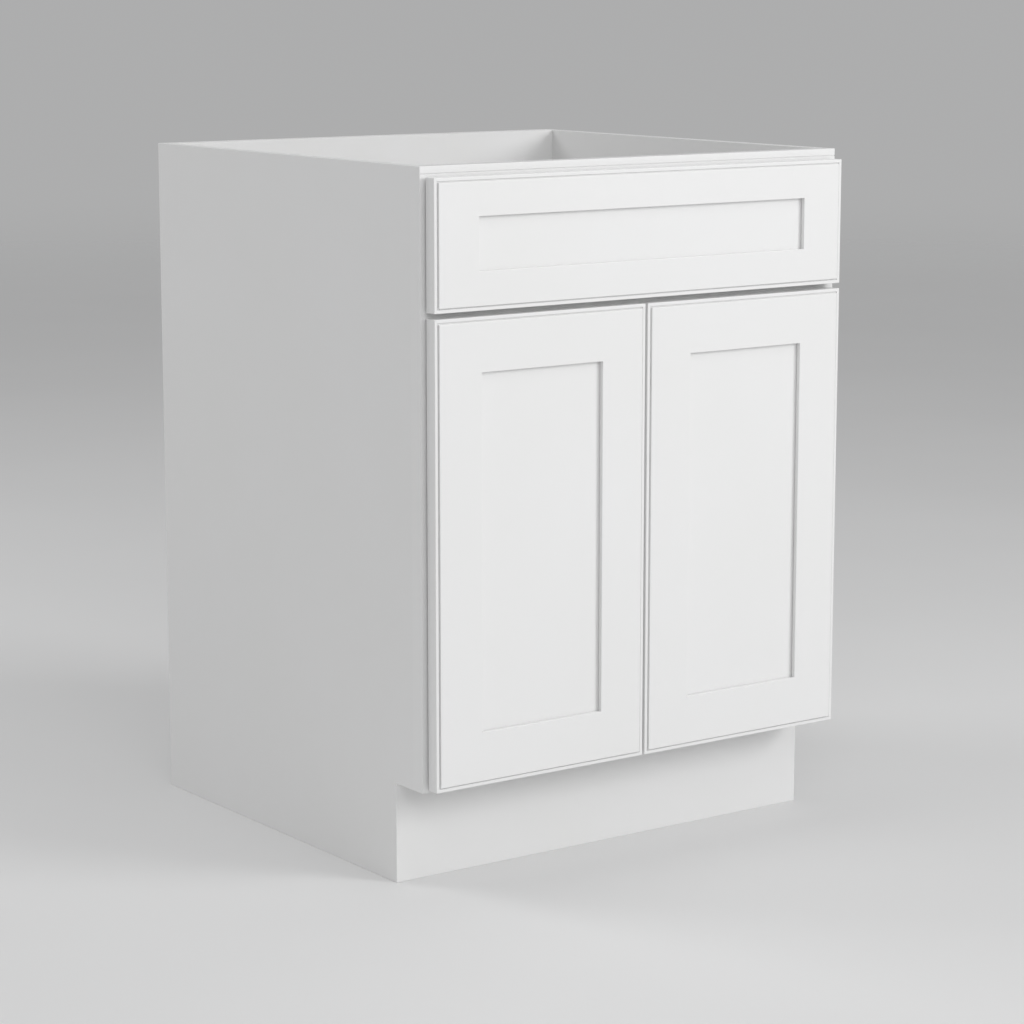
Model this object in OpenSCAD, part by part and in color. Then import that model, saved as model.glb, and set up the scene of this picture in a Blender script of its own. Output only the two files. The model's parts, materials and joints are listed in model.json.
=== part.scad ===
// Freestanding sink-base cabinet: a plywood case with an open top, a face frame,
// one fixed false drawer front and two doors on concealed cup hinges.
// Millimetres. +Z is up, the doors face -Y, and the origin is on the floor, at the middle of
// the cabinet's footprint.

/* [Case] */
// Overall width of the cabinet
case_w = 609.6; // [580:0.1:640]
// Height from the floor to the open top
case_h = 832; // [800:1:860]
// Depth from the front of the face frame to the back
case_d = 587; // [560:1:610]
// Thickness of the side panels
side_t = 12; // [12:0.5:13]
// Thickness of the floor panel
floor_t = 12; // [11.5:0.5:13]
// Thickness of the back panel
back_t = 9; // [8:0.5:10]
// Height of the toe space under the face frame
toe_h = 119; // [112:1:122]
// Setback of the toe-kick board behind the face frame's front
toe_setback = 55; // [50:1:65]
// Thickness of the toe-kick board
toe_t = 12; // [11:0.5:13]
// Height of the hanging rail along the top of the back
hang_rail_h = 90; // [85:1:100]
// Thickness of the hanging rail
hang_rail_t = 16; // [15:0.5:18]
// Side of the square cleats behind the toe-kick board
cleat_w = 20; // [18:0.5:24]

/* [Face frame] */
// Width of the frame's stiles and rails
frame_w = 38; // [37:0.5:39]
// Thickness of the face frame
frame_t = 19; // [18.5:0.5:20]
// Diameter of the dowels in the frame's joints
dowel_d = 8; // [7:0.5:8]
// Length of the dowels in the frame's joints
dowel_l = 28; // [24:1:32]
// Depth below the frame's top edge of the line scored across its front
score_drop = 8.2; // [7:0.1:9]
// Width of the scored line
score_w = 0.9; // [0.6:0.1:1.2]
// Depth of the scored line
score_d = 0.9; // [0.6:0.1:1.2]

/* [Fronts] */
// Thickness of the doors and of the false drawer front
front_t = 18; // [18:0.5:19]
// Gap between the fronts and the face frame
front_gap = 3; // [3:0.1:3.4]
// Strip of face frame left showing beside the fronts
side_reveal = 6; // [5:0.5:6]
// Strip of face frame left showing above the false front
top_reveal = 12; // [9:0.5:13]
// Height of the false drawer front
false_h = 150; // [146:1:156]
// Gap between the false front and the doors
row_gap = 6.5; // [5:0.5:8]
// Height of the doors' lower edge above the frame's lower edge
door_lift = 3.5; // [3:0.5:6]
// Gap between the two doors
door_gap = 3.2; // [3:0.1:4]
// Width of a door's stiles
door_stile_w = 63.5; // [60:0.5:68]
// Width of a door's rails
door_rail_w = 63; // [58:0.5:68]
// Width of the false front's stiles
false_stile_w = 60; // [57:0.5:64]
// Width of the false front's rails
false_rail_w = 44.5; // [40:0.5:48]
// Depth of the recess in a front, down to its panel's groove
panel_recess = 5.6; // [5:0.1:6.5]
// Gap between the frame and the face of the recessed panel in its groove
panel_gap = 0.5; // [0.3:0.1:0.6]
// Thickness of the recessed panels
panel_t = 6; // [5:0.5:6]
// Depth of the grooves that hold the recessed panels
groove_d = 10; // [9:0.5:11]
// Width of the stepped lip round each front
lip_w = 5.4; // [4:0.1:6]
// Depth of the step inside the lip
lip_step = 1.6; // [1:0.1:2]
// Width of the groove between the lip and the raised face
quirk_w = 1.4; // [1:0.1:1.6]
// Depth of that groove below the lip
quirk_d = 1.6; // [0.6:0.1:1.8]
// Diameter of the bumpers behind the fronts
bumper_d = 8; // [7:0.5:9]

/* [Hinges] */
// Distance of each hinge from the top or bottom of its door
hinge_inset = 90; // [80:1:110]
// Diameter of the hinge cup's bore in the door
cup_bore_d = 35; // [35:0.1:35.2]
// Depth of the hinge cup's bore in the door
cup_bore_depth = 12.7; // [12.7:0.1:13]
// Wood left between the door's edge and the cup's bore
cup_edge = 3; // [3:0.1:3.2]
// Distance of the hinge pin from the door's outer edge
pin_edge = 7.2; // [7.1:0.1:7.3]
// Depth of the hinge pin behind the door's back face
pin_depth = 8.5; // [8.4:0.1:8.6]
// Diameter of the hinge pin
pin_d = 2; // [1.8:0.1:2]

/* [Brackets] */
// Length of each leg of an angle bracket
bracket_leg = 22; // [20:0.5:22]
// Width of an angle bracket
bracket_w = 18; // [16:0.5:20]
// Thickness of the bracket steel
bracket_t = 1.6; // [1.5:0.1:2]

/* [Hidden] */

$fn = 48;

// Planes of the case, front to back
front_y = -(case_d + front_gap + front_t) / 2;
door_back_y = front_y + front_t;
frame_y = door_back_y + front_gap;
frame_back_y = frame_y + frame_t;
toe_y = frame_y + toe_setback;
toe_back_y = toe_y + toe_t;
back_y = -front_y;
back_in_y = back_y - back_t;
hang_front_y = back_in_y - hang_rail_t;

// Planes of the case, middle to side
half_w = case_w / 2;
side_in = -half_w + side_t;
stile_in = -half_w + frame_w;

// Heights
floor_top = toe_h + frame_w;
floor_under = floor_top - floor_t;
false_top = case_h - top_reveal;
false_bottom = false_top - false_h;
door_top = false_bottom - row_gap;
door_bottom = toe_h + door_lift;
door_h = door_top - door_bottom;
middle_rail_z = (false_bottom + door_top - frame_w) / 2;

// Fronts
fronts_x = -half_w + side_reveal;
false_w = case_w - 2 * side_reveal;
door_w = (false_w - door_gap) / 2;
panel_back = panel_recess + panel_gap + panel_t;

// Joints in the wood
tongue = 5;
side_tongue_t = side_t / 2;
dado = 5;
edge_slack = 0.5;

// Screws: [shank radius, length under the head, head radius, head height]
bracket_screw = [1.6, 11, 3.4, 1.4];
cup_screw = [1.5, 11, 3.2, 0.8];
arm_screw = [1.6, 15, 3.2, 1.2];
cleat_screw = [1.7, 28, 3.4, 1.4];
back_screw_r = 1.7;
back_screw_l = 24;
back_head_r = 3.6;
pilot_slack = 0.04;
screw_at = 13;

// Heights and depths at which fasteners stand
frame_bracket_z = [toe_h + 90, middle_rail_z - 50, case_h - 60];
floor_bracket_y = [-case_d * 0.22, case_d * 0.3];
hang_bracket_z = case_h - hang_rail_h + 20;
false_bracket_z = [false_bottom + 35, false_top - 46];
back_screw_x = [for (i = [-2 : 2]) i * (half_w - 45) / 2];
dowel_dz = 10;

// Hinge, measured from the door's outer edge and from its back face
cup_u = cup_edge + cup_bore_d / 2;
cup_r = cup_bore_d / 2 - 0.05;
cup_depth = cup_bore_depth - 0.1;
cup_wall = 1.05;
cup_floor = 0.8;
pocket_half = 8;
flange_t = 1.2;
flange_u = 2.5;
cup_screw_u = cup_u + 9.5;
cup_screw_z = 22.5;
ear_r = 5;
arm_half = 4;
arm_t = 1.8;
knuckle_r = 2.2;
pin_slack = 0.05;
pin_half = 10;
spring_r = 1.7;
spring_z = [4.3, 6.4];
overlay = frame_w - side_reveal;
arm_plate_half = 16;
arm_screw_z = 10.5;
hinge_z = [door_bottom + hinge_inset, door_top - hinge_inset];

paint = [0.94, 0.94, 0.93];
inside_paint = [0.86, 0.86, 0.85];
steel = [0.72, 0.73, 0.75];
zinc = [0.80, 0.81, 0.82];
beech = [0.80, 0.66, 0.46];
clear_rubber = [0.88, 0.89, 0.88];

// ---- Shared shapes -------------------------------------------------------------------

// A box between two corners
module block(a, b) {
    translate(a) cube(b - a);
}

module both_sides() {
    children();
    mirror([1, 0, 0]) children();
}

// A pan-head screw, driven towards -Z, with its head standing on z = 0
module pan_screw(size, slack = 0) {
    translate([0, 0, -size[1]]) cylinder(r = size[0] + slack, h = size[1]);
    cylinder(r = size[2], h = size[3]);
}

// A steel angle: its corner is at the origin, and its legs run along +X and +Y
module angle_bracket() {
    difference() {
        union() {
            block([0, 0, -bracket_w / 2], [bracket_leg, bracket_t, bracket_w / 2]);
            block([0, 0, -bracket_w / 2], [bracket_t, bracket_leg, bracket_w / 2]);
        }
        bracket_screw_pair(pilot_slack);
    }
}

module bracket_screw_pair(slack = 0) {
    translate([screw_at, bracket_t, 0]) rotate([-90, 0, 0]) pan_screw(bracket_screw, slack);
    translate([bracket_t, screw_at, 0]) rotate([0, 90, 0]) pan_screw(bracket_screw, slack);
}

// ---- Case ----------------------------------------------------------------------------

module at_corner_brackets() {
    both_sides() {
        for (z = frame_bracket_z) translate([side_in, frame_back_y, z]) children();
        for (y = floor_bracket_y)
            translate([side_in, y, floor_under]) rotate([-90, 0, 0]) children();
        translate([side_in, hang_front_y, hang_bracket_z]) mirror([0, 1, 0]) children();
    }
}

module corner_bracket_bores() {
    at_corner_brackets() bracket_screw_pair(pilot_slack);
}

module cleat_screw_set(slack = 0) {
    both_sides() {
        for (z = [25, toe_h - 25])
            translate([side_in + cleat_w, toe_back_y + cleat_w / 2, z])
                rotate([0, 90, 0]) pan_screw(cleat_screw, slack);
        translate([side_in + cleat_w / 2, toe_back_y + cleat_w, toe_h / 2])
            rotate([-90, 0, 0]) pan_screw(cleat_screw, slack);
    }
}

// Countersunk screws that hold the back panel to the hanging rail and the floor panel
module back_screw_set(slack = 0) {
    for (x = back_screw_x, z = [case_h - hang_rail_h / 2, floor_top - floor_t / 2])
        translate([x, back_y, z]) rotate([90, 0, 0]) {
            cylinder(r = back_screw_r + slack, h = back_screw_l);
            cylinder(r1 = back_head_r + slack, r2 = back_screw_r + slack,
                     h = back_head_r - back_screw_r);
        }
}

module side_panel() {
    toe_notch = [[frame_back_y - 1, -1], [toe_back_y, -1], [toe_back_y, toe_h],
                 [frame_back_y - 1, toe_h]];
    color(paint) difference() {
        union() {
            block([-half_w, frame_back_y, 0], [side_in, back_y, case_h]);
            block([side_in - side_tongue_t, frame_back_y - tongue, toe_h],
                  [side_in, frame_back_y + 1, case_h]);
        }
        translate([-half_w - 1, 0, 0]) rotate([90, 0, 90])
            linear_extrude(side_t + 2) polygon(toe_notch);
        block([side_in - dado, frame_back_y, floor_under],
              [side_in + 1, back_in_y, floor_top]);
        block([side_in - side_t / 2, back_in_y, -1], [side_in + 1, back_y + 1, case_h + 1]);
        corner_bracket_bores();
        cleat_screw_set(pilot_slack);
    }
}

module left_side_panel() {
    side_panel();
}

module right_side_panel() {
    mirror([1, 0, 0]) side_panel();
}

module floor_panel() {
    color(inside_paint) difference() {
        union() {
            block([side_in - dado, frame_back_y, floor_under],
                  [-side_in + dado, back_in_y, floor_top]);
            block([stile_in, frame_back_y - tongue, floor_under + 3],
                  [-stile_in, frame_back_y + 1, floor_under + 3 + side_tongue_t]);
        }
        corner_bracket_bores();
        back_screw_set(pilot_slack);
    }
}

module back_panel() {
    panel_x = side_in - side_t / 2;
    color(inside_paint) difference() {
        block([panel_x, back_in_y, 0], [-panel_x, back_y, case_h]);
        back_screw_set(pilot_slack);
    }
}

module hanging_rail() {
    color(inside_paint) difference() {
        block([side_in, hang_front_y, case_h - hang_rail_h], [-side_in, back_in_y, case_h]);
        corner_bracket_bores();
        back_screw_set(pilot_slack);
    }
}

// Full width below the face frame, and between the side panels above it
module toe_kick_board() {
    color(paint) difference() {
        union() {
            block([-half_w, toe_y, 0], [half_w, toe_back_y, toe_h]);
            block([side_in, toe_y, toe_h - 1], [-side_in, toe_back_y, floor_under]);
        }
        cleat_screw_set(pilot_slack);
    }
}

module toe_kick_cleats() {
    color(beech) difference() {
        both_sides() block([side_in, toe_back_y, 0],
                           [side_in + cleat_w, toe_back_y + cleat_w, toe_h]);
        cleat_screw_set(pilot_slack);
    }
}

module cleat_screws() {
    color(zinc) cleat_screw_set();
}

module corner_brackets() {
    color(zinc) at_corner_brackets() angle_bracket();
}

module corner_bracket_screws() {
    color(zinc) at_corner_brackets() bracket_screw_pair();
}

module back_panel_screws() {
    color(zinc) back_screw_set();
}

// ---- Face frame ----------------------------------------------------------------------

module frame_dowel_set(slack = 0) {
    for (rail_z = [toe_h, middle_rail_z, case_h - frame_w], dz = [-dowel_dz, dowel_dz])
        both_sides() translate([stile_in, frame_y + frame_t / 2, rail_z + frame_w / 2 + dz])
            rotate([0, 90, 0])
                cylinder(d = dowel_d + 2 * slack, h = dowel_l, center = true);
}

module scored_line() {
    block([-half_w - 1, frame_y - 1, case_h - score_drop - score_w],
          [half_w + 1, frame_y + score_d, case_h - score_drop]);
}

module frame_stile() {
    color(paint) difference() {
        block([-half_w, frame_y, toe_h], [stile_in, frame_back_y, case_h]);
        block([side_in - side_tongue_t, frame_back_y - tongue, toe_h - 1],
              [side_in, frame_back_y + 1, case_h + 1]);
        scored_line();
        frame_dowel_set(pilot_slack);
        corner_bracket_bores();
        at_false_brackets() bracket_screw_pair(pilot_slack);
        at_left_hinges() arm_screw_pair(pilot_slack);
    }
}

module left_frame_stile() {
    frame_stile();
}

module right_frame_stile() {
    mirror([1, 0, 0]) frame_stile();
}

module frame_rail(z) {
    color(paint) difference() {
        block([stile_in, frame_y, z], [-stile_in, frame_back_y, z + frame_w]);
        scored_line();
        frame_dowel_set(pilot_slack);
        block([stile_in - 1, frame_back_y - tongue, floor_under + 3],
              [-stile_in + 1, frame_back_y + 1, floor_under + 3 + side_tongue_t]);
    }
}

module top_frame_rail() {
    frame_rail(case_h - frame_w);
}

module middle_frame_rail() {
    frame_rail(middle_rail_z);
}

module bottom_frame_rail() {
    frame_rail(toe_h);
}

module frame_dowels() {
    color(beech) frame_dowel_set();
}

// ---- Framed fronts -------------------------------------------------------------------
// Each front stands with its outer left lower corner at the origin and its face on y = 0.

module front_stile(stile_w, h) {
    lip_flat = lip_w - quirk_w;
    difference() {
        union() {
            block([0, lip_step, 0], [stile_w, front_t, h]);
            block([lip_w, 0, lip_w], [stile_w, lip_step + 1, h - lip_w]);
        }
        difference() {
            block([lip_flat, lip_step, lip_flat],
                  [stile_w + 1, lip_step + quirk_d, h - lip_flat]);
            block([lip_w, 0, lip_w], [stile_w + 2, front_t, h - lip_w]);
        }
        block([stile_w - groove_d, panel_recess, -1],
              [stile_w + 1, panel_back, h + 1]);
    }
}

module front_rail(w, stile_w, rail_w) {
    difference() {
        union() {
            block([stile_w, lip_step, 0], [w - stile_w, front_t, rail_w]);
            block([stile_w, 0, lip_w], [w - stile_w, lip_step + 1, rail_w]);
            block([stile_w - groove_d, panel_recess, 0],
                  [w - stile_w + groove_d, panel_back, rail_w - groove_d]);
        }
        block([stile_w - 1, lip_step, lip_w - quirk_w],
              [w - stile_w + 1, lip_step + quirk_d, lip_w]);
        block([stile_w - groove_d - 1, panel_recess, rail_w - groove_d],
              [w - stile_w + groove_d + 1, panel_back, rail_w + 1]);
    }
}

module front_panel(w, h, stile_w, rail_w) {
    hidden = groove_d - edge_slack;
    block([stile_w - hidden, panel_back - panel_t, rail_w - hidden],
          [w - stile_w + hidden, panel_back, h - rail_w + hidden]);
}

module opposite_stile(w) {
    translate([w, 0, 0]) mirror([1, 0, 0]) children();
}

module opposite_rail(h) {
    translate([0, 0, h]) mirror([0, 0, 1]) children();
}

// A round bumper on the back of a front
module bumper() {
    rotate([-90, 0, 0]) cylinder(d = bumper_d, h = front_gap - 0.1);
}

// ---- False drawer front --------------------------------------------------------------

module at_false_front() {
    translate([fronts_x, front_y, false_bottom]) children();
}

module at_false_brackets() {
    both_sides() for (z = false_bracket_z) translate([stile_in, door_back_y, z]) children();
}

module false_stile() {
    color(paint) difference() {
        at_false_front() front_stile(false_stile_w, false_h);
        at_false_brackets() bracket_screw_pair(pilot_slack);
    }
}

module false_front_left_stile() {
    false_stile();
}

module false_front_right_stile() {
    mirror([1, 0, 0]) false_stile();
}

module false_front_bottom_rail() {
    color(paint) at_false_front() front_rail(false_w, false_stile_w, false_rail_w);
}

module false_front_top_rail() {
    color(paint) at_false_front() opposite_rail(false_h)
        front_rail(false_w, false_stile_w, false_rail_w);
}

module false_front_panel() {
    color(paint) at_false_front() front_panel(false_w, false_h, false_stile_w, false_rail_w);
}

module false_front_brackets() {
    color(zinc) at_false_brackets() angle_bracket();
}

module false_front_bracket_screws() {
    color(zinc) at_false_brackets() bracket_screw_pair();
}

module false_front_bumpers() {
    color(clear_rubber) both_sides() for (z = [false_bottom + 8, false_top - 13])
        translate([fronts_x + 16, door_back_y, z]) bumper();
}

// ---- Doors ---------------------------------------------------------------------------
// Both doors are drawn as the left one, and the right one is its mirror image.

module at_left_door() {
    translate([fronts_x, front_y, door_bottom]) children();
}

module at_left_hinges() {
    for (z = hinge_z) translate([fronts_x, door_back_y, z]) children();
}

module cup_screw_pair(slack = 0) {
    for (s = [-1, 1]) translate([cup_screw_u, flange_t, s * cup_screw_z])
        rotate([-90, 0, 0]) pan_screw(cup_screw, slack);
}

module arm_screw_pair(slack = 0) {
    for (s = [-1, 1])
        translate([overlay + arm_t, front_gap + frame_t / 2, s * arm_screw_z])
            rotate([0, 90, 0]) pan_screw(arm_screw, slack);
}

module door_hinge_stile() {
    color(paint) difference() {
        at_left_door() front_stile(door_stile_w, door_h);
        at_left_hinges() {
            translate([cup_u, 0.01, 0]) rotate([90, 0, 0])
                cylinder(d = cup_bore_d, h = cup_bore_depth);
            cup_screw_pair(pilot_slack);
        }
    }
}

module door_lock_stile() {
    color(paint) at_left_door() opposite_stile(door_w) front_stile(door_stile_w, door_h);
}

module door_bottom_rail() {
    color(paint) at_left_door() front_rail(door_w, door_stile_w, door_rail_w);
}

module door_top_rail() {
    color(paint) at_left_door() opposite_rail(door_h)
        front_rail(door_w, door_stile_w, door_rail_w);
}

module door_panel() {
    color(paint) at_left_door() front_panel(door_w, door_h, door_stile_w, door_rail_w);
}

module door_bumpers() {
    color(clear_rubber) for (z = [door_bottom + 12, door_top - 7.5])
        translate([fronts_x + door_w - 18, door_back_y, z]) bumper();
}

// Outline of the cup's flange: a trimmed ring, and an ear for a screw above and below
module flange_outline() {
    intersection() {
        translate([cup_u, 0]) circle(r = cup_r + 1.5);
        translate([flange_u, -cup_bore_d]) square([cup_bore_d * 2, cup_bore_d * 2]);
    }
    translate([cup_screw_u - ear_r, -cup_screw_z]) square([2 * ear_r, 2 * cup_screw_z]);
    for (s = [-1, 1]) translate([cup_screw_u, s * cup_screw_z]) circle(r = ear_r);
}

// The cup's body fills the bore, and its pocket takes the arm
module hinge_cup() {
    difference() {
        union() {
            translate([cup_u, 0, 0]) rotate([90, 0, 0]) cylinder(r = cup_r, h = cup_depth);
            translate([0, flange_t, 0]) rotate([90, 0, 0])
                linear_extrude(flange_t) flange_outline();
        }
        intersection() {
            translate([cup_u, flange_t + 1, 0]) rotate([90, 0, 0])
                cylinder(r = cup_r - cup_wall, h = cup_depth - cup_floor + flange_t + 1);
            block([0, -cup_depth, -pocket_half], [2 * cup_u, flange_t + 2, pocket_half]);
        }
        translate([pin_edge, -pin_depth, 0])
            cylinder(d = pin_d, h = 2 * pin_half, center = true);
        cup_screw_pair(pilot_slack);
    }
}

// The arm's side view: down from the pin along the cup's floor, then out beside the stile
module arm_outline() {
    deep = pin_depth + 2.8;
    plate_end = front_gap + frame_t - 1.5;
    difference() {
        union() {
            translate([pin_edge, -pin_depth]) circle(r = knuckle_r);
            polygon([
                [pin_edge, -pin_depth - 1.4], [15, -deep], [overlay + arm_t, -deep],
                [overlay + arm_t, plate_end], [overlay, plate_end], [overlay, arm_t - deep],
                [15.4, arm_t - deep], [pin_edge, 0.6 - pin_depth]
            ]);
        }
        translate([pin_edge, -pin_depth]) circle(r = pin_d / 2 + pin_slack);
    }
}

module hinge_arm() {
    difference() {
        union() {
            translate([0, 0, -arm_half]) linear_extrude(2 * arm_half) arm_outline();
            block([overlay, front_gap + 0.4, -arm_plate_half],
                  [overlay + arm_t, front_gap + frame_t - 1.5, arm_plate_half]);
        }
        arm_screw_pair(pilot_slack);
    }
}

module hinge_cups() {
    color(steel) at_left_hinges() hinge_cup();
}

module hinge_pins() {
    color(steel) at_left_hinges() translate([pin_edge, -pin_depth, 0])
        cylinder(d = pin_d, h = 2 * pin_half, center = true);
}

// The closed outer shape of the coils on the pin, one on each side of the arm's knuckle
module hinge_springs() {
    color(steel) at_left_hinges() translate([pin_edge, -pin_depth, 0])
        for (s = [0, 1]) mirror([0, 0, s]) translate([0, 0, spring_z[0]]) difference() {
            cylinder(r = spring_r, h = spring_z[1] - spring_z[0]);
            translate([0, 0, -1]) cylinder(r = pin_d / 2 + pin_slack, h = spring_z[1]);
        }
}

module hinge_cup_screws() {
    color(zinc) at_left_hinges() cup_screw_pair();
}

module hinge_arms() {
    color(steel) at_left_hinges() hinge_arm();
}

module hinge_arm_screws() {
    color(zinc) at_left_hinges() arm_screw_pair();
}

module right() {
    mirror([1, 0, 0]) children();
}

// ---- Nodes ---------------------------------------------------------------------------

left_side_panel();
right_side_panel();
floor_panel();
back_panel();
hanging_rail();
toe_kick_board();
toe_kick_cleats();
cleat_screws();
left_frame_stile();
right_frame_stile();
top_frame_rail();
middle_frame_rail();
bottom_frame_rail();
frame_dowels();
corner_brackets();
corner_bracket_screws();
back_panel_screws();
false_front_left_stile();
false_front_right_stile();
false_front_top_rail();
false_front_bottom_rail();
false_front_panel();
false_front_brackets();
false_front_bracket_screws();
false_front_bumpers();
door_hinge_stile();  // left_door_hinge_stile
door_lock_stile();  // left_door_lock_stile
door_top_rail();  // left_door_top_rail
door_bottom_rail();  // left_door_bottom_rail
door_panel();  // left_door_panel
door_bumpers();  // left_door_bumpers
hinge_cups();  // left_hinge_cups
hinge_pins();  // left_hinge_pins
hinge_springs();  // left_hinge_springs
hinge_cup_screws();  // left_hinge_cup_screws
hinge_arms();  // left_hinge_arms
hinge_arm_screws();  // left_hinge_arm_screws
right() door_hinge_stile();  // right_door_hinge_stile
right() door_lock_stile();  // right_door_lock_stile
right() door_top_rail();  // right_door_top_rail
right() door_bottom_rail();  // right_door_bottom_rail
right() door_panel();  // right_door_panel
right() door_bumpers();  // right_door_bumpers
right() hinge_cups();  // right_hinge_cups
right() hinge_pins();  // right_hinge_pins
right() hinge_springs();  // right_hinge_springs
right() hinge_cup_screws();  // right_hinge_cup_screws
right() hinge_arms();  // right_hinge_arms
right() hinge_arm_screws();  // right_hinge_arm_screws
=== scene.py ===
"""Looks of a sink-base vanity cabinet: painted boards, coated panels, steel fittings, studio."""
import json
import math

import bmesh
import bpy
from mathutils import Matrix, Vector
from mathutils.bvhtree import BVHTree

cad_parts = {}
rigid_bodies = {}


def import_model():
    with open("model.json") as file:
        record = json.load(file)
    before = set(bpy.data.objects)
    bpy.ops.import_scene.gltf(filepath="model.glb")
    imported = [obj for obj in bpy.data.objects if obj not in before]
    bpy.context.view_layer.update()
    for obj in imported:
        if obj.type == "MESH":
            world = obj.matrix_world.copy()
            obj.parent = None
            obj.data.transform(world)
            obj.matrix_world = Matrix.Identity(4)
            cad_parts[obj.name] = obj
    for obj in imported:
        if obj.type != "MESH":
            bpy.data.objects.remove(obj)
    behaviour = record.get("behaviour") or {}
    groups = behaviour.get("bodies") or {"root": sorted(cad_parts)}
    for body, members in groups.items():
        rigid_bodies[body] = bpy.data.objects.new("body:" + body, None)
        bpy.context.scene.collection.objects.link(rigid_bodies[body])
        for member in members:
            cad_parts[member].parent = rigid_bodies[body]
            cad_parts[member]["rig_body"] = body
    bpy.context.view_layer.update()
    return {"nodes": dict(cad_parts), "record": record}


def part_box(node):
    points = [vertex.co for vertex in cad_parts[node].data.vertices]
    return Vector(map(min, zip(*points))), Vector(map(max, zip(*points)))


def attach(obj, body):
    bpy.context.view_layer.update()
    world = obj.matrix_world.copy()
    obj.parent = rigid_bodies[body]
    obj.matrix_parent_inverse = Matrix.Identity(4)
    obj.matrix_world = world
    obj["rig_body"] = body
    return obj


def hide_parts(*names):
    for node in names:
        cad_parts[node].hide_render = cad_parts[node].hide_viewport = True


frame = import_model()
nodes = frame["nodes"]
scene = bpy.context.scene
slot_of = {part["node"]: part["material_slot"] for part in frame["record"]["subparts"]}
body_of = {node: nodes[node]["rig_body"] for node in nodes}

MM = 0.001
MICRON = 0.001 * MM
AXES = (Vector((1, 0, 0)), Vector((0, 1, 0)), Vector((0, 0, 1)))

# Rounding of each finish's free edges: width and number of facets across it
EDGES = {
    "painted_front": (0.7 * MM, 3),
    "painted_case": (0.6 * MM, 3),
    "inside_panel": (0.4 * MM, 2),
    "bare_wood": (0.6 * MM, 2),
    "hinge_steel": (0.25 * MM, 2),
    "bracket_steel": (0.4 * MM, 2),
}
NEIGHBOUR_SHARE = 0.35       # the most of the way to the next edge that a rounding takes
WELD = 2 * MICRON            # points nearer than this are one point
PROBE = 0.25 * MM            # how far from an edge its surroundings are looked at
END_ZONE = MM                # a board isn't cut across this close to an edge's end
FLAT = math.radians(0.3)     # faces that meet at less than this are one face
SHARP = math.radians(50)     # faces that meet at more than this meet at an edge
SLANT = Vector((0.577, 0.211, 0.789)).normalized()   # lies along no face or edge

# A screw's proportions: its cross and dome by the head's sizes, the rest by the shank's radius
CROSS_LENGTH = 1.15
CROSS_WIDTH = 0.26
CROSS_DEPTHS = (1.3, 1.2)    # the two bars' heights, of which half lies in the head
SCREW_DOME = 0.35
CORE = 0.76
RIDGE = 0.19
PITCH = 1.1
TIP = 1.6
TIP_TAPER = 0.9              # how much of its radius a tip loses

SPRING_WIRE = 0.16           # a spring's wire radius, by the spring's height
SPRING_RISE = 2.1            # how far a coil rises in a turn, by the wire's radius
BUMPER_TOP = 0.9             # a bumper's top radius, by its foot's
BUMPER_DOME = 0.3            # how far its rim lies below its middle, by its height

FLOOR_RADIUS = 14.0
FLOOR_FADE = (2.5, 12.0)     # where the floor starts to thin out, and where it is gone


# ---- Camera, light and floor ---------------------------------------------------------------

def make_camera():
    """From the left of the front, a little above the open top."""
    data = bpy.data.cameras.new("camera")
    data.lens = 105.34
    data.sensor_width = 36.0
    data.clip_start = 0.05
    data.clip_end = 400.0
    camera = bpy.data.objects.new("camera", data)
    scene.collection.objects.link(camera)
    heading = math.radians(35.731)
    tilt = math.radians(10.097)
    camera.location = (-2.15535, -3.0299, 1.03554)
    camera.rotation_euler = (math.pi / 2 - tilt, 0, -heading)
    scene.camera = camera


def soft_box(name, place, target, width, power):
    """A square studio light at place, facing target."""
    data = bpy.data.lights.new(name, "AREA")
    data.shape = "SQUARE"
    data.size = width
    data.energy = power
    lamp = bpy.data.objects.new(name, data)
    lamp.location = place
    lamp.rotation_euler = (Vector(target) - Vector(place)).to_track_quat("-Z", "Y").to_euler()
    scene.collection.objects.link(lamp)


def make_studio():
    """Even light all round, a large lamp to the right of the front, and weaker ones round it."""
    world = bpy.data.worlds.new("studio")
    scene.world = world
    world.use_nodes = True
    sky = world.node_tree.nodes["Background"]
    sky.inputs["Color"].default_value = (0.419, 0.42, 0.422, 1)
    sky.inputs["Strength"].default_value = 1.0
    scene.view_settings.view_transform = "Standard"
    middle = (0, 0, 0.45)
    soft_box("main_lamp", (2.6, -4.0, 2.2), middle, width=1.8, power=90)
    soft_box("left_lamp", (-1.8, -3.2, 2.4), middle, width=1.6, power=18)
    soft_box("high_lamp", (0.0, -1.5, 2.5), middle, width=1.4, power=7.5)
    soft_box("top_lamp", (0.0, 0.2, 3.2), middle, width=1.2, power=2)
    soft_box("back_lamp", (-2.0, 2.4, 3.0), middle, width=1.6, power=31)


def make_floor(finish):
    """A round floor that fades into the light round it."""
    bm = bmesh.new()
    bmesh.ops.create_circle(bm, cap_ends=True, cap_tris=False, radius=FLOOR_RADIUS,
                            segments=96)
    mesh = bpy.data.meshes.new("floor")
    bm.to_mesh(mesh)
    bm.free()
    floor = bpy.data.objects.new("floor", mesh)
    mesh.materials.append(finish)
    scene.collection.objects.link(floor)


# ---- Materials -----------------------------------------------------------------------------

def add(tree, kind, inputs=None, **settings):
    """A node of that kind, with its inputs given as values or as other nodes' outputs."""
    node = tree.nodes.new(kind)
    for key, value in settings.items():
        setattr(node, key, value)
    for key, value in (inputs or {}).items():
        if isinstance(value, bpy.types.NodeSocket):
            tree.links.new(value, node.inputs[key])
        else:
            node.inputs[key].default_value = value
    return node


def grey(value, tint=(1, 1, 1)):
    """A grey, turned a little towards a tint."""
    return (value * tint[0], value * tint[1], value * tint[2], 1)


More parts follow.
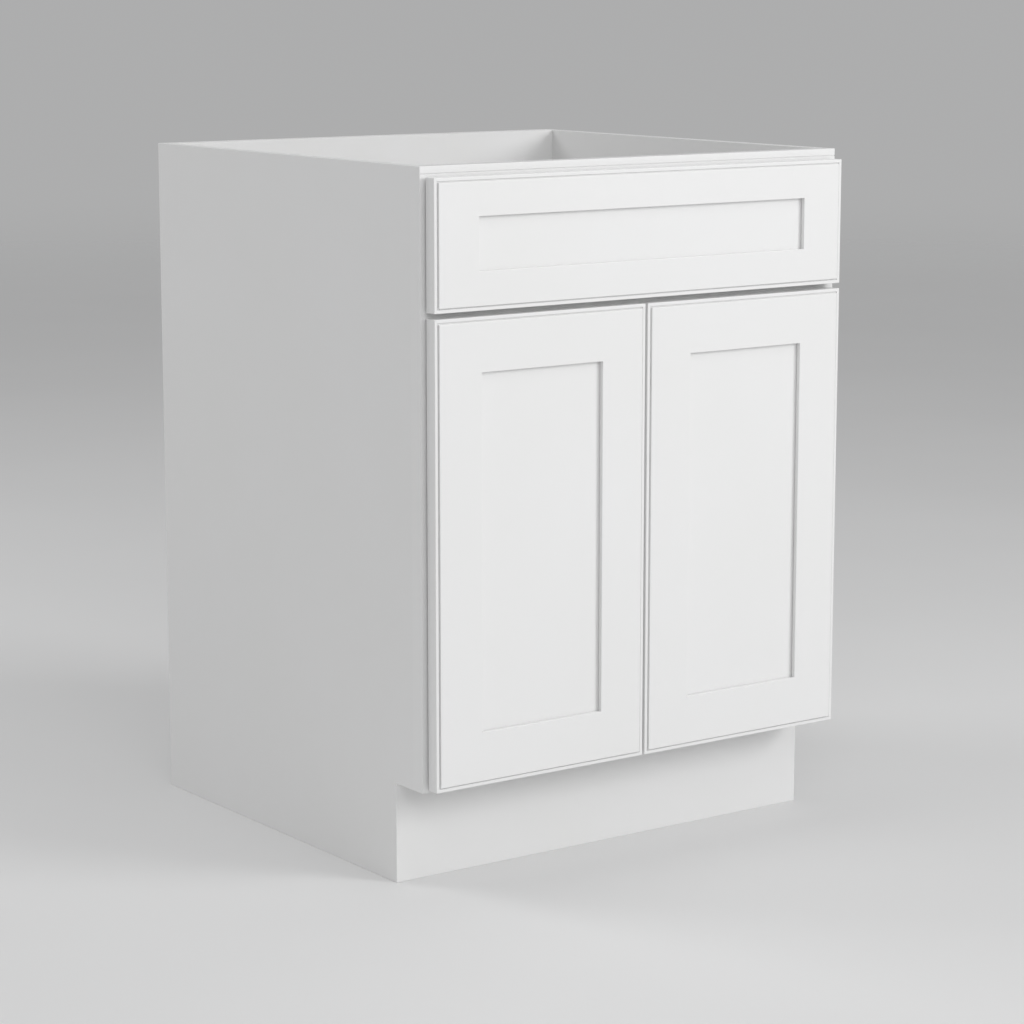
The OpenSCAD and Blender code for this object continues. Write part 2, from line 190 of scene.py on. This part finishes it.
def start_material(name, **constants):
    """A new material's tree, its shader and its Object coordinates. Constants go on the shader."""
    material = bpy.data.materials.new(name)
    material.use_nodes = True
    tree = material.node_tree
    shader = tree.nodes["Principled BSDF"]
    for key, value in constants.items():
        shader.inputs[key.replace("_", " ")].default_value = value
    return material, tree, shader, add(tree, "ShaderNodeTexCoord").outputs["Object"]


def noise(tree, place, size, detail=2.0, roughness=0.5, stretch=None):
    """Noise whose spots are about size metres across, drawn out by stretch along X, Y and Z."""
    if stretch:
        scale = tuple(1 / s for s in stretch)
        place = add(tree, "ShaderNodeMapping", {"Vector": place, "Scale": scale}).outputs[0]
    return add(tree, "ShaderNodeTexNoise", {"Vector": place, "Scale": 1 / size, "Detail": detail,
                                            "Roughness": roughness}).outputs["Fac"]


def ramp(tree, factor, low, high, start=0.3, end=0.7):
    """A colour that goes from low to high as the factor goes from start to end."""
    made = add(tree, "ShaderNodeValToRGB", {"Fac": factor})
    for stop, place, colour in zip(made.color_ramp.elements, (start, end), (low, high)):
        stop.position = place
        stop.color = colour
    return made.outputs["Color"]


def spread(tree, factor, low, high, start=0.3, end=0.7):
    """A number that goes from low to high as the factor goes from start to end."""
    return add(tree, "ShaderNodeMapRange", {"Value": factor, "From Min": start, "From Max": end,
                                            "To Min": low, "To Max": high}).outputs["Result"]


def bump(tree, height, depth, strength=1.0, under=None):
    """A bump depth metres high, over another bump if one is given."""
    made = add(tree, "ShaderNodeBump", {"Height": height, "Distance": depth,
                                        "Strength": strength})
    if under:
        tree.links.new(under, made.inputs["Normal"])
    return made.outputs["Normal"]


def painted(name, tone, roughness):
    """Sprayed satin lacquer: fine orange peel, slow waves, and tone and gloss that drift."""
    material, tree, shader, place = start_material(name, IOR=1.5, Specular_IOR_Level=0.42)
    drift = noise(tree, place, size=220 * MM, detail=3.0)
    cloud = noise(tree, place, size=12 * MM)
    thin = grey(tone * 0.988, tint=(1.0, 1.0, 0.994))
    colour = ramp(tree, drift, thin, grey(tone))
    gloss_range = 0.015
    gloss = spread(tree, cloud, roughness - gloss_range, roughness + gloss_range)
    peel = noise(tree, place, size=1.6 * MM, detail=1.0, roughness=0.4)
    waves = noise(tree, place, size=30 * MM, detail=1.0)
    sprayed = bump(tree, waves, depth=30 * MICRON, strength=0.5)
    skin = bump(tree, peel, depth=6 * MICRON, strength=0.5, under=sprayed)
    tree.links.new(colour, shader.inputs["Base Color"])
    tree.links.new(gloss, shader.inputs["Roughness"])
    tree.links.new(skin, shader.inputs["Normal"])
    return material


def coated(name, tone):
    """Matt melamine on board: a fine pebble, and a faint cloudiness."""
    material, tree, shader, place = start_material(name, Specular_IOR_Level=0.35)
    cloud = noise(tree, place, size=90 * MM, detail=4.0)
    thin = grey(tone * 0.98, tint=(1.0, 0.998, 0.99))
    colour = ramp(tree, cloud, thin, grey(tone))
    pebble_size = 1.1 * MM
    pebble = add(tree, "ShaderNodeTexVoronoi", {"Vector": place, "Scale": 1 / pebble_size},
                 feature="SMOOTH_F1").outputs["Distance"]
    tree.links.new(colour, shader.inputs["Base Color"])
    tree.links.new(spread(tree, cloud, 0.48, 0.58), shader.inputs["Roughness"])
    tree.links.new(bump(tree, pebble, depth=40 * MICRON, strength=0.6),
                   shader.inputs["Normal"])
    return material


def beech(name, along):
    """Planed beech with its grain along one axis: slow bands, fine pores and short flecks."""
    material, tree, shader, place = start_material(name, Specular_IOR_Level=0.3)
    drawn = [1, 1, 1]
    drawn[along] = 14
    bands = noise(tree, place, size=6 * MM, detail=4.0, roughness=0.6, stretch=drawn)
    pores = noise(tree, place, size=0.6 * MM, roughness=0.6, stretch=drawn)
    colour = ramp(tree, bands, low=(0.50, 0.33, 0.17, 1), high=(0.68, 0.50, 0.30, 1),
                  start=0.35, end=0.62)
    dark = ramp(tree, pores, low=(0.72, 0.66, 0.6, 1), high=(1, 1, 1, 1), end=0.45)
    mixed = add(tree, "ShaderNodeVectorMath", {0: colour, 1: dark}, operation="MULTIPLY")
    tree.links.new(mixed.outputs[0], shader.inputs["Base Color"])
    tree.links.new(spread(tree, bands, 0.55, 0.7), shader.inputs["Roughness"])
    tree.links.new(bump(tree, pores, depth=60 * MICRON, strength=0.5), shader.inputs["Normal"])
    return material


def plated(name, low, high, roughness, scratch_along):
    """Plated steel: a tone that shifts in patches, soft blotches of gloss and fine scratches."""
    material, tree, shader, place = start_material(name, Metallic=1.0)
    patches = noise(tree, place, size=7 * MM, detail=3.0)
    drawn = [1, 1, 1]
    drawn[scratch_along] = 30
    scratches = noise(tree, place, size=0.3 * MM, roughness=0.7, stretch=drawn)
    gloss = add(tree, "ShaderNodeMath", {0: spread(tree, patches, roughness, roughness + 0.1),
                                         1: spread(tree, scratches, -0.05, 0.06)},
                operation="ADD")
    tree.links.new(ramp(tree, patches, low, high), shader.inputs["Base Color"])
    tree.links.new(gloss.outputs[0], shader.inputs["Roughness"])
    tree.links.new(bump(tree, scratches, depth=10 * MICRON, strength=0.5),
                   shader.inputs["Normal"])
    return material


def clear_plastic(name):
    """Soft clear plastic with a frosted skin."""
    material, tree, shader, place = start_material(name, Transmission_Weight=0.55, IOR=1.47)
    frost = noise(tree, place, size=0.8 * MM)
    tree.links.new(ramp(tree, frost, grey(0.80), grey(0.90, tint=(1, 1, 0.985))),
                   shader.inputs["Base Color"])
    tree.links.new(spread(tree, frost, 0.22, 0.38), shader.inputs["Roughness"])
    tree.links.new(bump(tree, frost, depth=30 * MICRON, strength=0.4), shader.inputs["Normal"])
    return material


def floor_finish():
    """Smooth pale flooring that thins out to nothing away from the middle."""
    material, tree, shader, place = start_material("pale_floor", Roughness=0.6,
                                                   Specular_IOR_Level=0.25)
    cloud = noise(tree, place, size=800 * MM, detail=4.0)
    grain = noise(tree, place, size=4 * MM)
    tree.links.new(ramp(tree, cloud, grey(0.79), grey(0.81)), shader.inputs["Base Color"])
    tree.links.new(bump(tree, grain, depth=100 * MICRON, strength=0.3),
                   shader.inputs["Normal"])
    away = add(tree, "ShaderNodeVectorMath", {0: place}, operation="LENGTH").outputs["Value"]
    fade = add(tree, "ShaderNodeMapRange",
               {"Value": away, "From Min": FLOOR_FADE[0], "From Max": FLOOR_FADE[1]},
               interpolation_type="SMOOTHERSTEP").outputs["Result"]
    clear = add(tree, "ShaderNodeBsdfTransparent")
    mixed = add(tree, "ShaderNodeMixShader", {0: fade, 1: shader.outputs[0],
                                              2: clear.outputs[0]})
    tree.links.new(mixed.outputs[0], tree.nodes["Material Output"].inputs["Surface"])
    return material


# ---- Rounded edges -------------------------------------------------------------------------

def tree_of(node):
    """A CAD node's faces, sorted so that a ray finds them fast."""
    bm = bmesh.new()
    bm.from_mesh(nodes[node].data)
    made = BVHTree.FromBMesh(bm)
    bm.free()
    return made


solid_trees = {node: tree_of(node) for node in nodes}
solid_boxes = {node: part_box(node) for node in nodes}


def filled(point, skip):
    """Whether a solid other than skip, on the same body, is at the point."""
    for node, (low, high) in solid_boxes.items():
        if node == skip or body_of[node] != body_of[skip]:
            continue
        if all(low[k] < point[k] < high[k] for k in range(3)):
            hit, normal, _, _ = solid_trees[node].ray_cast(point, SLANT)
            if hit is not None and normal.dot(SLANT) > 0:
                return True
    return False


def in_open_air(point, edge, node):
    """Whether nothing lies against either face of the edge there, so that its corner is free."""
    first, second = (face.normal for face in edge.link_faces)
    beside = (first - second) * PROBE
    return not (filled(point + beside, node) or filled(point - beside, node))


def convex(edge):
    """Whether the edge is a sharp outer corner."""
    return (len(edge.link_faces) == 2 and edge.is_convex
            and edge.calc_face_angle(0) > SHARP)


def run_of(edge):
    """The axis that the edge runs along, or None."""
    a, b = (v.co for v in edge.verts)
    for k in range(3):
        if (b - a).length - abs(b[k] - a[k]) < WELD:
            return k
    return None


def cut_at_neighbours(bm, node):
    """Cuts the board across where an edge goes from free to covered."""
    cuts = set()
    for edge in bm.edges:
        k = run_of(edge)
        if k is None or not convex(edge):
            continue
        a, b = sorted((v.co.copy() for v in edge.verts), key=lambda co: co[k])
        stops = sorted({round(box[side][k], 6) for box in solid_boxes.values()
                        for side in (0, 1)
                        if a[k] + END_ZONE < box[side][k] < b[k] - END_ZONE})
        marks = [a[k], *stops, b[k]]
        middles = [(m + n) / 2 for m, n in zip(marks, marks[1:])]
        free = [in_open_air(a.lerp(b, (m - a[k]) / (b[k] - a[k])), edge, node) for m in middles]
        cuts.update((k, stop) for stop, before, after in zip(stops, free, free[1:])
                    if before != after)
    for k, stop in sorted(cuts):
        bmesh.ops.bisect_plane(bm, geom=[*bm.verts, *bm.edges, *bm.faces], dist=WELD,
                               plane_co=AXES[k] * stop, plane_no=AXES[k])


def room_beside(edge, others):
    """The distance to the nearest parallel edge alongside."""
    k = run_of(edge)
    a, b = sorted((v.co[k] for v in edge.verts))
    here = edge.verts[0].co
    best = math.inf
    for low, high, place in others[k]:
        if high <= a + WELD or low >= b - WELD:
            continue
        away = math.dist([here[i] for i in range(3) if i != k],
                         [place[i] for i in range(3) if i != k])
        if away > WELD:
            best = min(best, away)
    return best


def rounding_of(bm, node, width):
    """Each free edge's share of the full rounding."""
    sharp = [e for e in bm.edges if len(e.link_faces) == 2 and e.calc_face_angle(0) > SHARP]
    runs = {0: [], 1: [], 2: []}
    for edge in sharp:
        k = run_of(edge)
        if k is not None:
            low, high = sorted(v.co[k] for v in edge.verts)
            runs[k].append((low, high, edge.verts[0].co.copy()))
    shares = {}
    for edge in sharp:
        if not edge.is_convex:
            continue
        middle = (edge.verts[0].co + edge.verts[1].co) / 2
        if not in_open_air(middle, edge, node):
            continue
        room = width if run_of(edge) is None else room_beside(edge, runs) * NEIGHBOUR_SHARE
        shares[edge] = min(width, room) / width
    return shares


def softened(node, finish):
    """A copy of a CAD node with its free edges rounded, which stands for it."""
    width, facets = EDGES[slot_of[node]]
    bm = bmesh.new()
    bm.from_mesh(nodes[node].data)
    bmesh.ops.remove_doubles(bm, verts=bm.verts, dist=WELD)
    bmesh.ops.dissolve_limit(bm, angle_limit=FLAT, verts=bm.verts, edges=bm.edges)
    cut_at_neighbours(bm, node)
    bm.normal_update()
    weights = bm.edges.layers.float.new("bevel_weight_edge")
    shares = rounding_of(bm, node, width)
    for edge in bm.edges:
        edge[weights] = shares.get(edge, 0)
    mesh = bpy.data.meshes.new(f"finished_{node}")
    bm.to_mesh(mesh)
    bm.free()
    mesh.materials.append(finish)
    mesh.materials.append(finish)   # a second slot marks the rounding until it is shaded
    piece = bpy.data.objects.new(f"finished_{node}", mesh)
    scene.collection.objects.link(piece)
    rounding = piece.modifiers.new("rounding", "BEVEL")
    rounding.limit_method = "WEIGHT"
    rounding.width = width
    rounding.segments = facets
    rounding.use_clamp_overlap = False
    rounding.material = 1
    settle(piece)
    shade(piece.data)
    stand_for(piece, node)


def shade(mesh):
    """Boards' own faces stay flat; the rounding, on the second slot, blends into them."""
    bm = bmesh.new()
    bm.from_mesh(mesh)
    normals = []
    for face in bm.faces:
        face.smooth = True
        for corner in face.loops:
            near = [f for f in corner.vert.link_faces
                    if f.normal.dot(face.normal) > math.cos(SHARP)]
            own = [f for f in near if f.material_index == 0]
            total = sum((f.normal * f.calc_area() for f in own or near), Vector())
            normals.append(total.normalized())
    for face in bm.faces:
        face.material_index = 0
    bm.to_mesh(mesh)
    bm.free()
    mesh.materials.pop()
    mesh.normals_split_custom_set(normals)


def settle(piece):
    """Turns what the modifiers make into the piece's own plain mesh."""
    bpy.context.view_layer.update()
    graph = bpy.context.evaluated_depsgraph_get()
    mesh = bpy.data.meshes.new_from_object(piece.evaluated_get(graph), depsgraph=graph)
    mesh.name = piece.name
    piece.modifiers.clear()
    piece.data = mesh


def smoothed(mesh):
    """Smooth faces that look outward, with creases at the sharp edges."""
    bm = bmesh.new()
    bm.from_mesh(mesh)
    bmesh.ops.recalc_face_normals(bm, faces=bm.faces)
    for face in bm.faces:
        face.smooth = True
    for edge in bm.edges:
        edge.smooth = edge.calc_face_angle(0) < SHARP
    bm.to_mesh(mesh)
    bm.free()


def stand_for(piece, node):
    """The piece is shown in the CAD node's place and on its body, instead of the node."""
    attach(piece, body_of[node])
    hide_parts(node)


# ---- What repeats: screws, springs and bumpers -----------------------------------------------

def start_tree(name, sizes):
    """A Geometry Nodes tree with named inputs for its sizes, and those inputs' sockets."""
    tree = bpy.data.node_groups.new(name, "GeometryNodeTree")
    sockets = [("Points", "Geometry"), *((size, "Float") for size in sizes),
               ("Seed", "Int"), ("Finish", "Material")]
    for label, kind in sockets:
        tree.interface.new_socket(label, in_out="INPUT", socket_type=f"NodeSocket{kind}")
    tree.interface.new_socket("Geometry", in_out="OUTPUT", socket_type="NodeSocketGeometry")
    return tree, tree.nodes.new("NodeGroupInput").outputs


def finish_tree(tree, given, shape):
    """Sets the shape on each point, its Z along the point's direction and turned by chance."""
    way = add(tree, "GeometryNodeInputNamedAttribute", {"Name": "out"},
              data_type="FLOAT_VECTOR").outputs["Attribute"]
    aligned = add(tree, "FunctionNodeAlignRotationToVector", {"Vector": way}, axis="Z")
    chance = add(tree, "FunctionNodeRandomValue", {2: 0.0, 3: math.tau, "Seed": given["Seed"]},
                 data_type="FLOAT").outputs[1]
    twist = add(tree, "FunctionNodeEulerToRotation", {0: triple(tree, 0, 0, chance)})
    turned = add(tree, "FunctionNodeRotateRotation", {0: aligned.outputs[0],
                                                      1: twist.outputs[0]},
                 rotation_space="LOCAL")
    placed = add(tree, "GeometryNodeInstanceOnPoints", {"Points": given["Points"],
                                                        "Instance": shape,
                                                        "Rotation": turned.outputs[0]})
    real = add(tree, "GeometryNodeRealizeInstances", {0: placed.outputs[0]})
    last = add(tree, "GeometryNodeSetMaterial", {"Geometry": real.outputs[0],
                                                 "Material": given["Finish"]})
    tree.links.new(last.outputs[0], tree.nodes.new("NodeGroupOutput").inputs[0])
    return tree


def maths(tree, operation, first, second):
    """Two numbers, or outputs, put through a Math node."""
    return add(tree, "ShaderNodeMath", {0: first, 1: second}, operation=operation).outputs[0]


def triple(tree, x, y, z):
    """Three numbers, or outputs, as one vector."""
    return add(tree, "ShaderNodeCombineXYZ", {0: x, 1: y, 2: z}).outputs[0]


def moved_up(tree, shape, height):
    """The shape, moved along Z."""
    made = add(tree, "GeometryNodeTransform", {"Geometry": shape,
                                               "Translation": triple(tree, 0, 0, height)})
    return made.outputs[0]


def joined(tree, *shapes):
    """The shapes as one."""
    made = tree.nodes.new("GeometryNodeJoinGeometry")
    for shape in shapes:
        tree.links.new(shape, made.inputs[0])
    return made.outputs[0]


def turned_disc(tree, top, bottom, height, facets, rings):
    """A closed truncated cone standing on z = 0, with rings on its top for a dome."""
    return add(tree, "GeometryNodeMeshCone",
               {"Vertices": facets, "Side Segments": 2, "Fill Segments": rings,
                "Radius Top": top, "Radius Bottom": bottom, "Depth": height},
               fill_type="TRIANGLE_FAN").outputs["Mesh"]


def domed(tree, shape, radius, height, drop, power):
    """Lowers the top towards its rim by drop, and leaves the foot where it is."""
    place = tree.nodes.new("GeometryNodeInputPosition").outputs[0]
    parts = add(tree, "ShaderNodeSeparateXYZ", {0: place}).outputs
    across = add(tree, "ShaderNodeVectorMath", {0: triple(tree, parts[0], parts[1], 0)},
                 operation="LENGTH").outputs["Value"]
    out = maths(tree, "POWER", maths(tree, "DIVIDE", across, radius), power)
    up = maths(tree, "POWER", maths(tree, "DIVIDE", parts[2], height), 2.0)
    fall = maths(tree, "MULTIPLY", maths(tree, "MULTIPLY", out, up), drop)
    offset = triple(tree, 0, 0, maths(tree, "MULTIPLY", fall, -1.0))
    return add(tree, "GeometryNodeSetPosition", {"Geometry": shape,
                                                 "Offset": offset}).outputs[0]


def pointed_rod(tree, radius, straight, tip):
    """A rod that hangs down from z = 0 and runs out to a point."""
    line = add(tree, "GeometryNodeMeshLine", {"Count": 3}).outputs[0]
    step = tree.nodes.new("GeometryNodeInputIndex").outputs[0]
    in_tip = maths(tree, "MAXIMUM", maths(tree, "SUBTRACT", step, 1.0), 0.0)
    down = maths(tree, "ADD", maths(tree, "MULTIPLY", maths(tree, "MINIMUM", step, 1.0),
                                    straight), maths(tree, "MULTIPLY", in_tip, tip))
    place = triple(tree, 0, 0, maths(tree, "MULTIPLY", down, -1.0))
    line = add(tree, "GeometryNodeSetPosition", {"Geometry": line, "Position": place}).outputs[0]
    line = add(tree, "GeometryNodeMeshToCurve", {"Mesh": line}).outputs[0]
    size = maths(tree, "SUBTRACT", 1.0, maths(tree, "MULTIPLY", in_tip, TIP_TAPER))
    line = add(tree, "GeometryNodeSetCurveRadius", {"Curve": line, "Radius": size}).outputs[0]
    section = add(tree, "GeometryNodeCurvePrimitiveCircle", {"Resolution": 12,
                                                             "Radius": radius}).outputs[0]
    return add(tree, "GeometryNodeCurveToMesh", {"Curve": line, "Profile Curve": section,
                                                 "Fill Caps": True}).outputs[0]


def coil(tree, radius, wire, height, turns, steps, wire_sides):
    """A wire wound round Z, from z = 0 up to the height."""
    line = add(tree, "GeometryNodeCurveSpiral",
               {"Resolution": steps, "Rotations": turns, "Start Radius": radius,
                "End Radius": radius, "Height": height}).outputs[0]
    upright = add(tree, "GeometryNodeSetCurveNormal", {"Curve": line}, mode="Z_UP").outputs[0]
    section = add(tree, "GeometryNodeCurvePrimitiveCircle", {"Resolution": wire_sides,
                                                             "Radius": wire}).outputs[0]
    return add(tree, "GeometryNodeCurveToMesh", {"Curve": upright, "Profile Curve": section,
                                                 "Fill Caps": True}).outputs[0]


def screw_tree():
    """A screw with a cross recess in its head, a core, a point and a thread wound round it."""
    tree, given = start_tree("screws", ("Head radius", "Under radius", "Head height", "Dome",
                                        "Shank radius", "Shank length", "Pitch", "Tip"))
    radius, height = given["Head radius"], given["Head height"]
    disc = turned_disc(tree, radius, given["Under radius"], height, facets=28, rings=4)
    head = domed(tree, disc, radius, height, drop=given["Dome"], power=3.0)
    cut = add(tree, "GeometryNodeMeshBoolean", {"Mesh 1": head}, operation="DIFFERENCE")
    length = maths(tree, "MULTIPLY", radius, CROSS_LENGTH)
    width = maths(tree, "MULTIPLY", radius, CROSS_WIDTH)
    for depth, sides in zip(CROSS_DEPTHS, ((length, width), (width, length))):
        bar = add(tree, "GeometryNodeMeshCube",
                  {"Size": triple(tree, *sides, maths(tree, "MULTIPLY", height, depth))})
        tree.links.new(moved_up(tree, bar.outputs["Mesh"], height), cut.inputs["Mesh 2"])
    straight = maths(tree, "SUBTRACT", given["Shank length"], given["Tip"])
    core = maths(tree, "MULTIPLY", given["Shank radius"], CORE)
    ridge = maths(tree, "MULTIPLY", given["Shank radius"], RIDGE)
    threaded = maths(tree, "SUBTRACT", straight, given["Pitch"])
    turns = maths(tree, "DIVIDE", threaded, given["Pitch"])
    thread = coil(tree, maths(tree, "SUBTRACT", given["Shank radius"], ridge), ridge, threaded,
                  turns, steps=10, wire_sides=3)
    thread = moved_up(tree, thread, maths(tree, "MULTIPLY", straight, -1.0))
    shank = pointed_rod(tree, core, straight, given["Tip"])
    return finish_tree(tree, given, joined(tree, cut.outputs[0], shank, thread))


def spring_tree():
    """A closing spring's coils."""
    tree, given = start_tree("springs", ("Coil radius", "Wire radius", "Height", "Turns"))
    wound = coil(tree, given["Coil radius"], given["Wire radius"], given["Height"],
                 given["Turns"], steps=18, wire_sides=8)
    return finish_tree(tree, given, wound)


def bumper_tree():
    """A low soft dome."""
    tree, given = start_tree("bumpers", ("Radius", "Height", "Dome"))
    radius, height = given["Radius"], given["Height"]
    top = maths(tree, "MULTIPLY", radius, BUMPER_TOP)
    disc = turned_disc(tree, top, radius, height, facets=32, rings=6)
    dome = domed(tree, disc, radius, height, drop=given["Dome"], power=4.0)
    return finish_tree(tree, given, dome)


def solids_of(node):
    """The corner points of each separate solid in a CAD node."""
    bm = bmesh.new()
    bm.from_mesh(nodes[node].data)
    bmesh.ops.remove_doubles(bm, verts=bm.verts, dist=WELD)
    found = []
    left = set(bm.verts)
    while left:
        newest = {left.pop()}
        seen = set(newest)
        while newest:
            newest = {e.other_vert(v) for v in newest for e in v.link_edges} - seen
            seen |= newest
        left -= seen
        found.append([v.co.copy() for v in seen])
    bm.free()
    return sorted(found, key=lambda points: tuple(round(x, 5) for x in box_of(points)[0]))


def box_of(points):
    """The lowest and the highest corner of the points' box."""
    low = Vector([min(p[k] for p in points) for k in range(3)])
    high = Vector([max(p[k] for p in points) for k in range(3)])
    return low, high


def screw_seat(points):
    """Where a screw's head sits, the way it faces, and its sizes, from the screw's solid."""
    low, high = box_of(points)
    middle = (low + high) / 2
    k = max(range(3), key=lambda i: high[i] - low[i])

    def radius(p):
        return math.dist(*([q[i] for i in range(3) if i != k] for q in (p, middle)))

    ends = [max(radius(p) for p in points if abs(p[k] - end) < WELD)
            for end in (low[k], high[k])]
    sign = 1 if ends[1] > ends[0] else -1
    top = high[k] if sign > 0 else low[k]
    head, shank = max(ends), min(ends)
    length = high[k] - low[k]
    nearly = 0.98
    height = max(abs(top - p[k]) for p in points if radius(p) > head * nearly)
    under = head
    if height < WELD:   # a countersunk head, which narrows from its top down to the shank
        height = min(abs(top - p[k]) for p in points if radius(p) < shank / nearly)
        under = shank
    seat = middle.copy()
    seat[k] = top - sign * height
    sizes = {"Head radius": head, "Under radius": under, "Head height": height,
             "Dome": SCREW_DOME * height if under == head else 0.0, "Shank radius": shank,
             "Shank length": length - height, "Pitch": PITCH * shank, "Tip": TIP * shank}
    return seat, AXES[k] * sign, sizes


def repeated(node, tree, finish, places, sizes):
    """The tree's shape at every place, as one plain piece that stands for the CAD node."""
    mesh = bpy.data.meshes.new(f"finished_{node}")
    mesh.from_pydata([place for place, _ in places], [], [])
    ways = mesh.attributes.new("out", "FLOAT_VECTOR", "POINT")
    ways.data.foreach_set("vector", [x for _, way in places for x in way])
    piece = bpy.data.objects.new(mesh.name, mesh)
    modifier = piece.modifiers.new("made", "NODES")
    modifier.node_group = tree
    inputs = dict(sizes, Seed=len(places), Finish=finish)
    for socket in tree.interface.items_tree:
        if socket.in_out == "INPUT" and socket.name in inputs:
            modifier[socket.identifier] = inputs[socket.name]
    scene.collection.objects.link(piece)
    settle(piece)
    smoothed(piece.data)
    stand_for(piece, node)


def screws(node, tree, finish):
    """A node's screws, which are all of one size."""
    seats = [screw_seat(points) for points in solids_of(node)]
    repeated(node, tree, finish, [(seat, way) for seat, way, _ in seats], seats[0][2])


def springs(node, tree, finish):
    """A node's springs, which are all of one size, each wound round its hinge pin."""
    places = []
    for points in solids_of(node):
        low, high = box_of(points)
        wire = SPRING_WIRE * (high.z - low.z)
        foot = (low + high) / 2
        foot.z = low.z + wire
        places.append((foot, AXES[2]))
    height = high.z - low.z - 2 * wire
    repeated(node, tree, finish, places, {"Coil radius": (high.x - low.x) / 2 - wire,
                                          "Wire radius": wire, "Height": height,
                                          "Turns": height / (SPRING_RISE * wire)})


def bumpers(node, tree, finish):
    """A node's bumpers, which are all of one size, on the back of a front."""
    places = []
    for points in solids_of(node):
        low, high = box_of(points)
        foot = (low + high) / 2
        foot.y = low.y
        places.append((foot, AXES[1]))
    height = high.y - low.y
    repeated(node, tree, finish, places, {"Radius": (high.x - low.x) / 2, "Height": height,
                                          "Dome": BUMPER_DOME * height})


# ---- The cabinet ---------------------------------------------------------------------------

make_camera()
make_studio()
make_floor(floor_finish())

finishes = {
    "painted_front": painted("front_lacquer", tone=0.84, roughness=0.30),
    "painted_case": painted("case_lacquer", tone=0.83, roughness=0.42),
    "inside_panel": coated("inside_coating", tone=0.86),
    "bare_wood": beech("beech_upright", along=2),
    "hinge_steel": plated("nickel_plating", low=(0.66, 0.65, 0.63, 1),
                          high=(0.75, 0.74, 0.72, 1), roughness=0.2, scratch_along=2),
    "bracket_steel": plated("zinc_plating", low=(0.52, 0.56, 0.60, 1),
                            high=(0.66, 0.66, 0.63, 1), roughness=0.3, scratch_along=2),
    "screw_steel": plated("screw_zinc", low=(0.56, 0.57, 0.60, 1),
                          high=(0.70, 0.68, 0.62, 1), roughness=0.28, scratch_along=0),
    "bumper_rubber": clear_plastic("clear_bumper"),
}

dowel_wood = beech("beech_across", along=0)
screw_shape, spring_shape, bumper_shape = screw_tree(), spring_tree(), bumper_tree()
for node in nodes:
    finish = finishes[slot_of[node]]
    if node.endswith("_screws"):
        screws(node, screw_shape, finish)
    elif node.endswith("_springs"):
        springs(node, spring_shape, finish)
    elif node.endswith("_bumpers"):
        bumpers(node, bumper_shape, finish)
    else:
        softened(node, dowel_wood if node == "frame_dowels" else finish)
